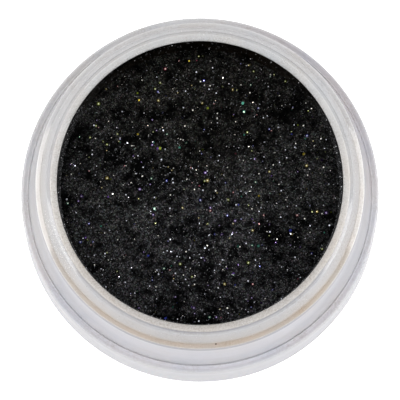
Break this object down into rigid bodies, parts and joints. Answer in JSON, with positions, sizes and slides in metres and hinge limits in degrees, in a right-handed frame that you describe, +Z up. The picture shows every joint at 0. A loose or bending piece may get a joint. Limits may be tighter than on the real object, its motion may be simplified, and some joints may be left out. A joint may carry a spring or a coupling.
{
  "type": "glitter eyeshadow pot",
  "caption": "Open round double-walled clear cosmetic pot with a sloped rim and a lift-out inner jar full of loose black glitter powder.",
  "frame": {"origin": "middle of the pot's underside, on the surface it stands on", "axes": "+Z up along the pot's axis, out of the mouth; -Y towards the viewer of the pictured side"},
  "size_m": [0.038, 0.038, 0.0198],
  "materials": {
    "clear_shell": "clear moulded polystyrene, polished, faint grey haze",
    "clear_jar": "clear moulded polystyrene, slightly warm, polished with fine scuffs",
    "glitter_powder": "loose fine black powder with sparse iridescent glitter flakes",
    "label_paper": "blank coated white sticker paper, matt"
  },
  "bodies": {
    "shell": {"outer_shell": "clear_shell", "base_label": "label_paper"},
    "refill": {"inner_jar": "clear_jar", "powder_fill": "glitter_powder"}
  },
  "joints": [
    {"name": "refill_lift", "type": "slide", "parent": "shell", "child": "refill", "axis": [0, 0, 1], "range_m": [0, 0.012]}
  ]
}
